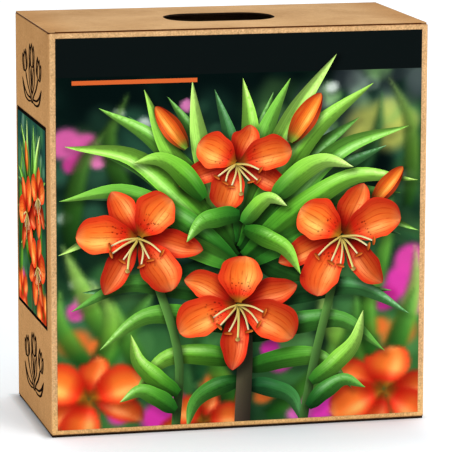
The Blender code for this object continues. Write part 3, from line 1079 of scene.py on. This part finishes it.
def drawing(name, strokes, material, matrix, thick=0.06, nib=(4.0, 1.3)):
    """Strokes of a broad nib as thin flat solids: each is (points, weight), in millimetres."""
    verts, faces = [], []
    for k, (points, weight) in enumerate(strokes):
        rows = max(8, int(len(points) * 7))
        line = spline(points, rows + 1)
        v = np.linspace(0, 1, rows + 1)
        tangent = np.gradient(line, axis=0)
        tangent /= np.linalg.norm(tangent, axis=1)[:, None] + 1e-9
        across = np.stack([tangent[:, 1], -tangent[:, 0]], 1)
        half = 0.5 * weight * np.hypot(nib[0] * tangent[:, 1], nib[1] * tangent[:, 0])
        half *= np.interp(v, (0, 0.1, 0.85, 1), (0.55, 1.0, 0.85, 0.4))
        base, n = len(verts), rows + 1
        z = thick + 0.004 * (k % 5)
        for level in (z, 0.0):
            for j in (-1, 1):
                verts.extend((x / 1000, y / 1000, level / 1000) for x, y in line + j * across * half[:, None])
        a, b, c, d = base, base + n, base + 2 * n, base + 3 * n
        for i in range(rows):
            faces += [
                (a + i, b + i, b + i + 1, a + i + 1),
                (c + i, c + i + 1, d + i + 1, d + i),
                (a + i, a + i + 1, c + i + 1, c + i),
                (b + i, d + i, d + i + 1, b + i + 1),
            ]
        faces += [(a, c, d, b), (a + rows, b + rows, d + rows, c + rows)]
    mesh = bpy.data.meshes.new(name)
    mesh.from_pydata(verts, [], faces)
    mesh.materials.append(material)
    o = bpy.data.objects.new(name, mesh)
    bpy.context.scene.collection.objects.link(o)
    o.matrix_world = matrix
    return o


def tulip_strokes():
    """Three tulips in pen lines about (0, 0), about 42 high and 76 wide."""
    head = [
        ([(0, 0), (-7.5, 2.5), (-9.4, 9), (-7.6, 16.5)], 1.0),
        ([(0, 0), (7.5, 2.5), (9.4, 9), (7.6, 16.5)], 1.0),
        ([(-7.6, 16.5), (-4.6, 13.4), (-3.1, 10.8)], 1.0),
        ([(7.6, 16.5), (4.6, 13.4), (3.1, 10.8)], 1.0),
        ([(-3.4, 1.0), (-5.0, 7), (-2.8, 13), (0, 18)], 0.85),
        ([(3.4, 1.0), (5.0, 7), (2.8, 13), (0, 18)], 0.85),
    ]
    strokes = []
    for x, y, lean, s in ((0, 5, 0, 1.05), (-25, -1, 20, 0.95), (25, -1, -20, 0.95)):
        c, n = math.cos(math.radians(lean)), math.sin(math.radians(lean))
        for points, weight in head:
            strokes.append(([(x + s * (px * c - py * n), y + s * (px * n + py * c)) for px, py in points], weight))
    strokes += [
        # stems
        ([(0, 5), (-0.5, -8), (0.3, -23)], 0.9),
        ([(-25, -1), (-17, -10), (-7, -17), (-1.5, -23)], 1.1),
        ([(25, -1), (17, -10), (7, -17), (1.8, -23)], 1.1),
        # leaves
        ([(-3, -20), (-18, -19), (-29, -15), (-38, -8)], 1.2),
        ([(-38, -8), (-28, -20), (-16, -23), (-3, -22)], 1.2),
        ([(3, -20), (18, -19), (29, -15), (38, -8)], 1.2),
        ([(38, -8), (28, -20), (16, -23), (3, -22)], 1.2),
        ([(-1, -16), (-9, -8), (-11, 0), (-10, 8)], 0.8),
        ([(-10, 8), (-5, 0), (-3, -7), (-0.6, -12)], 0.8),
        ([(1.4, -16), (9, -8), (11, 0), (10, 8)], 0.8),
        ([(10, 8), (5, 0), (3, -7), (0.8, -12)], 0.8),
    ]
    return [([(x, 0.9 * y) for x, y in points], weight) for points, weight in strokes]


# ---------------------------------------------------------------- the sleeve: one folded sheet
def sleeve():
    """The four upright panels as one sheet of board, folded at three corners and glued inside at the fourth."""
    r = 0.0016
    top_front, top_side, top_back, foot = H - 0.0009, H - 2 * BOARD - GAP - 0.00005, H - BOARD - 0.00005, BOARD + GAP
    lip = H - BOARD - GAP  # beside the dust flaps, up to the lid
    path = []  # (x, y, outward normal, top)

    def run(x0, y0, x1, y1, normal, top, parts):
        for i in range(parts + 1):
            t = i / parts
            path.append((x0 + (x1 - x0) * t, y0 + (y1 - y0) * t, normal, top))

    def corner(cx, cy, a0, a1, t0, t1):
        for i in range(1, 8):
            t = i / 8
            a = math.radians(a0 + (a1 - a0) * t)
            n = (math.cos(a), math.sin(a))
            path.append((cx + r * n[0], cy + r * n[1], n, t0 + (t1 - t0) * t))

    run(X1, Y1, -X1 + r, Y1, (0, 1), top_back, 12)
    corner(-X1 + r, Y1 - r, 90, 180, top_back, lip)
    run(-X1, Y1 - r, -X1, 0.0644, (-1, 0), lip, 1)
    run(-X1, 0.06435, -X1, -0.06085, (-1, 0), top_side, 6)
    run(-X1, -0.0609, -X1, -Y1 + r, (-1, 0), lip, 2)
    corner(-X1 + r, -Y1 + r, 180, 270, lip, top_front)
    run(-X1 + r, -Y1, X1 - r, -Y1, (0, -1), top_front, 12)
    corner(X1 - r, -Y1 + r, 270, 360, top_front, lip)
    run(X1, -Y1 + r, X1, -0.0609, (1, 0), lip, 2)
    run(X1, -0.06085, X1, 0.06435, (1, 0), top_side, 6)
    run(X1, 0.0644, X1, Y1 - BOARD - GAP, (1, 0), lip, 1)
    n = len(path)
    verts = []
    for x, y, (nx, ny), top in path:
        ix, iy = x - nx * BOARD, y - ny * BOARD
        verts += [(x, y, foot), (x, y, top), (ix, iy, foot), (ix, iy, top)]
    faces, slots = [], []
    for i in range(n - 1):
        a, b = 4 * i, 4 * (i + 1)
        faces += [(a, a + 1, b + 1, b), (a + 2, b + 2, b + 3, a + 3), (a + 1, a + 3, b + 3, b + 1), (a, b, b + 2, a + 2)]
        sideways = abs(path[i][2][0] + path[i + 1][2][0]) > 1.2
        slots += [3 if sideways else 0, 1, 2, 2]
    e = 4 * (n - 1)
    faces += [(0, 2, 3, 1), (e, e + 1, e + 3, e + 2)]
    slots += [2, 2]
    mesh = bpy.data.meshes.new("sleeve_board")
    mesh.from_pydata(verts, [], faces)
    m0 = board_face("sleeve_kraft", FRONT_LIGHT, FRONT_DARK, 0.95)
    m1 = board_face("sleeve_side_kraft", SIDE_LIGHT, SIDE_DARK, 0.35, 0.0, True)
    for m in (m0, shaded_liner_face("sleeve_shaded_liner"), cut_face("sleeve_edge"), m1):
        mesh.materials.append(m)
    mesh.polygons.foreach_set("material_index", slots)
    mesh.update()
    o = bpy.data.objects.new("sleeve_board", mesh)
    bpy.context.scene.collection.objects.link(o)
    for p in mesh.polygons:
        p.use_smooth = abs(p.normal.z) < 0.5
    mesh.set_sharp_from_angle(angle=math.radians(35))
    return o


def board_face(name, light, dark, speckle=0.0, specular=0.06, side=False):
    """Kraft with scuffed, paler folds at the carton's upright corners, painted shade that browns it towards its top and
    bottom edges, and a dark line at the foot, made patchy by the wear noise, that is a painted contact shadow."""
    m, n = new_material(name)
    at = n.node("TexCoord").outputs["Object"]
    colour, height = kraft_colour(n, at, light, dark, 1.0, (1, 1, 0.16))
    # printed speckle, strongest on the front and back
    dots = n.noise(at, 820, 1.0, 0.5)
    colour = n.vmath("SCALE", colour, scale=n.math("MULTIPLY_ADD", n.math("SUBTRACT", dots, 0.5), speckle, 1.0))
    part = n.node("SeparateXYZ", {0: at})
    x, y, z = part.outputs
    fold = n.math("MULTIPLY", n.ramp(n.math("ABSOLUTE", x), X1 - 0.0022, X1 - 0.0002), n.ramp(n.math("ABSOLUTE", y), Y1 - 0.0022, Y1 - 0.0002))
    wear = n.noise(n.place(at, (1, 1, 0.3)), 420, 3.0, 0.6)
    fold = n.math("MULTIPLY", fold, n.ramp(wear, 0.35, 0.62, 0.25, 1.0))
    colour = n.mix(n.math("MULTIPLY", fold, 0.34), colour, tuple(min(1.0, 1.22 * c) for c in light))
    # painted shade: browner towards the top and bottom edges of the panels, by the lid's gap and the floor
    ends = n.math("MAXIMUM", n.ramp(z, 0.0034, 0.0015), n.ramp(z, H - 0.0020, H - 0.0008))
    colour = n.mix(n.math("MULTIPLY", ends, 0.35), colour, EDGE_LIGHT)
    if side:
        # painted shade: the sides get darker towards the top
        colour = n.vmath("SCALE", colour, scale=n.ramp(z, 0.20, H, 1.035, 0.92))
        painted_foot_shadow = n.ramp(z, 0.0027, 0.0021)
    else:
        warm = n.math("MULTIPLY", n.ramp(z, 0.034, 0.004), n.math("LESS_THAN", y, 0.0))
        colour = n.mix(warm, colour, n.vmath("MULTIPLY", colour, (1.18, 1.15, 0.96)))
        painted_foot_shadow = n.ramp(z, 0.0020, 0.0016)
    # painted shadow: a near-black line at the foot for the contact shadow, patchy with the wear noise
    painted_foot_shadow = n.math("MULTIPLY", painted_foot_shadow, n.ramp(wear, 0.25, 0.5, 0.75, 0.95))
    colour = n.mix(painted_foot_shadow, colour, srgb(34, 17, 8))
    n.finish(colour, 0.86, n.bump(height, 0.18, 0.00012), specular)
    return m


# painted shade: the liner's kraft, darkened for the dark inside of the carton
def shaded_liner_face(name):
    m, n = new_material(name)
    at = n.node("TexCoord").outputs["Object"]
    colour, height = kraft_colour(n, at, SHADED_LINER_LIGHT, SHADED_LINER_DARK, 0.8)
    n.finish(colour, 0.9, n.bump(height, 0.2, 0.00012), 0.08)
    return m


def cut_face(name):
    m, n = new_material(name)
    at = n.node("TexCoord").outputs["Object"]
    flute = n.noise(at, 900, 2.0, 0.6)
    n.finish(n.mix(flute, EDGE_DARK, EDGE_LIGHT), 0.92, n.bump(flute, 0.3, 0.0002), 0.0)
    return m


def crease_skin(name, section, along, lo, hi, material):
    """The board's outer skin where it bends at a crease: a thin solid with this outline in YZ (along X) or in XZ (along
    Y), in millimetres."""
    n, steps = len(section), 8
    verts, faces = [], []
    for i in range(steps + 1):
        t = lo + (hi - lo) * i / steps
        for a, z in section:
            verts.append((t, a / 1000, z / 1000) if along == "x" else (a / 1000, t, z / 1000))
    for i in range(steps):
        for k in range(n):
            a, b = i * n + k, i * n + (k + 1) % n
            faces.append((a, b, b + n, a + n))
    faces += [tuple(range(n)), tuple(steps * n + k for k in reversed(range(n)))]
    mesh = bpy.data.meshes.new(name)
    mesh.from_pydata(verts, [], faces)
    bm = bmesh.new()
    bm.from_mesh(mesh)
    bmesh.ops.recalc_face_normals(bm, faces=bm.faces)
    bm.to_mesh(mesh)
    bm.free()
    mesh.materials.append(material)
    o = bpy.data.objects.new(name, mesh)
    bpy.context.scene.collection.objects.link(o)
    return o


# ---------------------------------------------------------------- put together
def link(o, body, *nodes, slot=None):
    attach(o, body)
    if nodes:
        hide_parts(*nodes)
    return o


link(sleeve(), "sleeve", "front_panel", "back_panel", "left_side_panel", "right_side_panel", slot="front_panel")
front_kraft, side_kraft = bpy.data.materials["sleeve_kraft"], bpy.data.materials["sleeve_side_kraft"]
x0, x1, y0, y1 = 1000 * X1 + 0.03, 1000 * X1 + 0.15, 1000 * Y1 + 0.03, 1000 * Y1 + 0.15
top, low = 1000 * (H - BOARD - GAP) - 0.02, 1000 * H - 4.5
for name, sign in (("left_crease", -1), ("right_crease", 1)):
    skin = [(sign * x0, low), (sign * x1, low + 0.12), (sign * x1, top), (sign * x0, top)]
    link(crease_skin(name, skin, "y", -0.0605, 0.0640, side_kraft), "sleeve", slot="left_side_panel")
skin = [(y0, low), (y1, low + 0.12), (y1, 1000 * H - 0.5), (y0, 1000 * H - 0.5)]
link(crease_skin("back_crease", skin, "x", -X1 + 0.0005, X1 - 0.0005, front_kraft), "sleeve", slot="back_panel")
# painted shade: the skin in the slit under the lid's front crease takes the dark cut-edge colour, for the shadow in
# that slit
fy, fz = 1000 * (-Y1 + BOARD + 0.0007), 1000 * H
skin = [(-0.22, -0.08), (-0.22, -1.40), (0.34, -1.98), (0.44, -1.92), (-0.10, -1.35), (-0.04, -0.08)]
tuck_crease_shade = crease_skin("tuck_crease_painted_shade", [(fy + a, fz + b) for a, b in skin], "x", -0.13045, 0.13045, cut_face("tuck_crease_painted_shade"))
link(tuck_crease_shade, "tuck", slot="tuck_flap")
link(front_picture(), "sleeve", "front_label", slot="front_label")
link(side_picture("left_side_print", 21, -1), "sleeve", "left_side_label", slot="left_side_label")
link(side_picture("right_side_print", 33, 1), "sleeve", "right_side_label", slot="right_side_label")

pen = drawing_material()
left_x, right_x = -X1 - 0.00002, X1 + 0.00002
for name, x, z in (
    ("left_drawing_top", left_x, 0.2470),
    ("left_drawing_bottom", left_x, 0.0395),
    ("right_drawing_top", right_x, 0.2470),
    ("right_drawing_bottom", right_x, 0.0395),
):
    if x < 0:
        place = Matrix(((0, 0, -1, x), (-1, 0, 0, 0.0), (0, 1, 0, z), (0, 0, 0, 1)))
    else:
        place = Matrix(((0, 0, 1, x), (1, 0, 0, 0.0), (0, 1, 0, z), (0, 0, 0, 1)))
    link(drawing(name, tulip_strokes(), pen, place), "sleeve", slot="left_side_label")


def finish_node(node, material, soften=0.0):
    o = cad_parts[node]
    o.data.materials.clear()
    o.data.materials.append(material)
    if soften:
        b = o.modifiers.new("soften", "BEVEL")
        b.width, b.segments, b.limit_method, b.angle_limit = soften, 3, "ANGLE", math.radians(40)


finish_node("lid_panel", board_material("lid_kraft", 2, 1, along=(0.16, 1, 1), fold=(1, 1), fade=(H - 0.0007, H - 0.0003), shaded_hole=(0.045, 0.030), clouds=1.3, painted_end_shade_and_front_light=True), 0.0003)
finish_node("tuck_flap", board_material("tuck_kraft", 1, -1, along=(0.16, 1, 1)))
finish_node("left_dust_flap", board_material("left_dust_kraft", 2, 1, SIDE_LIGHT, SIDE_DARK, (1, 0.16, 1), (0, -1)), 0.0003)
finish_node("right_dust_flap", board_material("right_dust_kraft", 2, 1, SIDE_LIGHT, SIDE_DARK, (1, 0.16, 1), (0, 1)), 0.0003)
# painted shadow: the bottom flaps' cut edges are near-black, for the contact shadow at the carton's foot
foot = (srgb(34, 16, 7), srgb(14, 7, 3))
for node in ("bottom_flap_front", "bottom_flap_back"):
    finish_node(node, board_material(node + "_kraft", 2, -1, along=(0.16, 1, 1), edge=foot))
for node in ("bottom_flap_left", "bottom_flap_right"):
    finish_node(node, board_material(node + "_kraft", 2, -1, along=(1, 0.16, 1), edge=foot))
finish_node("glue_tab", shaded_liner_face("glue_tab_shaded_liner"))


def back_label_material():
    """A plain printed panel with a fine double rule round it."""
    m, n = new_material("back_print")
    at = n.node("TexCoord").outputs["Object"]
    lo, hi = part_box("back_label")
    x, y, z = n.node("SeparateXYZ", {0: at}).outputs
    dx = n.math("SUBTRACT", (hi.x - lo.x) / 2, n.math("ABSOLUTE", n.math("SUBTRACT", x, (hi.x + lo.x) / 2)))
    dz = n.math("SUBTRACT", (hi.z - lo.z) / 2, n.math("ABSOLUTE", n.math("SUBTRACT", z, (hi.z + lo.z) / 2)))
    edge = n.math("MINIMUM", dx, dz)
    rule = n.math("MULTIPLY", n.ramp(edge, 0.0, 0.0001), n.ramp(edge, 0.0021, 0.0019, 0.0, 1.0))
    inner = n.math("MULTIPLY", n.ramp(edge, 0.0036, 0.0037), n.ramp(edge, 0.0042, 0.0041, 0.0, 1.0))
    board, height = kraft_colour(n, at, FRONT_LIGHT, FRONT_DARK, 1.0, (1, 1, 0.16))
    dots = n.noise(at, 820, 1.0, 0.5)
    board = n.vmath("SCALE", board, scale=n.math("MULTIPLY_ADD", n.math("SUBTRACT", dots, 0.5), 0.95, 1.0))
    worn = n.noise(at, 800, 2.0, 0.6)
    ink = n.mix(worn, srgb(22, 18, 16), srgb(44, 36, 30))
    colour = n.mix(n.math("MAXIMUM", rule, inner), board, ink)
    n.finish(colour, 0.86, n.bump(height, 0.18, 0.00012), 0.06)
    return m


finish_node("back_label", back_label_material())

# ---------------------------------------------------------------- floor, light and camera
scene = bpy.context.scene
scene.view_settings.view_transform = "Standard"
scene.view_settings.look = "None"
scene.view_settings.exposure = 0.0
scene.view_settings.gamma = 1.0

bpy.ops.mesh.primitive_plane_add(size=14, location=(0, 2.0, -0.0001))
floor = bpy.context.active_object
floor.name = "studio_floor"
m, n = new_material("studio_floor")
at = n.node("TexCoord").outputs["Object"]
# painted shadow: the floor is painted a little darker close round the carton and in front of it, where the paper sweep
# is in its shade
x, y, _ = n.node("SeparateXYZ", {0: at}).outputs
y = n.math("ADD", y, 2.0)
ahead = n.math("SUBTRACT", -Y1, y)
beside = n.math("SUBTRACT", n.math("ABSOLUTE", x), X1)
contact = n.ramp(n.math("MAXIMUM", beside, n.math("SUBTRACT", n.math("ABSOLUTE", y), Y1)), 0.0, 0.010, 1.0, 0.0)
contact = n.math("MULTIPLY", contact, n.math("MULTIPLY", n.ramp(ahead, -0.004, 0.004, 1.0, 0.45), n.ramp(x, X1 - 0.02, X1 + 0.004, 1.0, 0.3)))
shade = n.math("ADD", n.ramp(ahead, 0.03, 0.14, 1.0, 0.0), n.math("MULTIPLY", n.ramp(ahead, 0.0, 0.035, 1.0, 0.0), 0.4))
shade = n.math("MULTIPLY", shade, n.math("MULTIPLY", n.ramp(ahead, -0.01, 0.002), n.ramp(beside, -0.025, 0.02, 1.0, 0.0)))
shade = n.math("MULTIPLY", shade, n.ramp(x, -0.14, 0.14, 0.6, 1.4))
paper = n.mix(n.noise(at, 6.0, 2.0), srgb(249, 250, 251), srgb(253, 254, 255))
paper = n.vmath("SCALE", paper, scale=n.math("MULTIPLY", n.math("MULTIPLY_ADD", shade, -0.13, 1.0), n.math("MULTIPLY_ADD", contact, -0.36, 1.0)))
b = n.finish(paper, 0.7, None, 0.1)
# painted light: the floor glows a little, bluish against the warm light thrown from the kraft, and less in the painted
# shadow
b.inputs["Emission Color"].default_value = (0.55, 0.90, 1.13, 1)
n.put(b.inputs["Emission Strength"], n.math("MULTIPLY", n.math("MULTIPLY_ADD", shade, -0.15, 1.0), n.math("MULTIPLY_ADD", contact, -0.135, 0.15)))
floor.data.materials.append(m)

world = bpy.data.worlds.new("studio")
scene.world = world
world.use_nodes = True
n = Nodes(world.node_tree)
x = n.node("SeparateXYZ", {0: n.node("TexCoord").outputs["Generated"]}).outputs[0]
sky = n.node("Background", {0: (1.0, 1.0, 1.0, 1), 1: n.ramp(x, -0.9, 0.6, 0.74, 1.16)})
world.node_tree.links.new(sky.outputs[0], n.node("OutputWorld").inputs[0])


def area(name, location, target, size, power, colour=(1, 1, 1)):
    data = bpy.data.lights.new(name, "AREA")
    data.shape = "DISK"
    data.size = size
    data.energy = power
    data.color = colour
    o = bpy.data.objects.new(name, data)
    scene.collection.objects.link(o)
    o.location = location
    o.rotation_euler = (Vector(target) - Vector(location)).to_track_quat("-Z", "Y").to_euler()
    return o


area("key_light", (0.9, -1.9, 1.7), (0, 0, 0.12), 1.3, 24, (1.0, 0.99, 0.97))

cam = bpy.data.cameras.new("camera")
camera = bpy.data.objects.new("camera", cam)
scene.collection.objects.link(camera)
scene.camera = camera
right = Vector((0.97326799, -0.22966363, 0.00201012))
up = Vector((0.03842819, 0.17146715, 0.98444009))
back = -Vector((0.22643476, 0.95804678, -0.17570905))
place = Matrix((right, up, back)).transposed().to_4x4()
place.translation = (-0.5361069, -2.2919670, 0.5530600)
camera.matrix_world = place
cam.sensor_fit = "HORIZONTAL"
cam.sensor_width = 36.0
cam.lens = 265.007
cam.clip_start, cam.clip_end = 0.05, 60
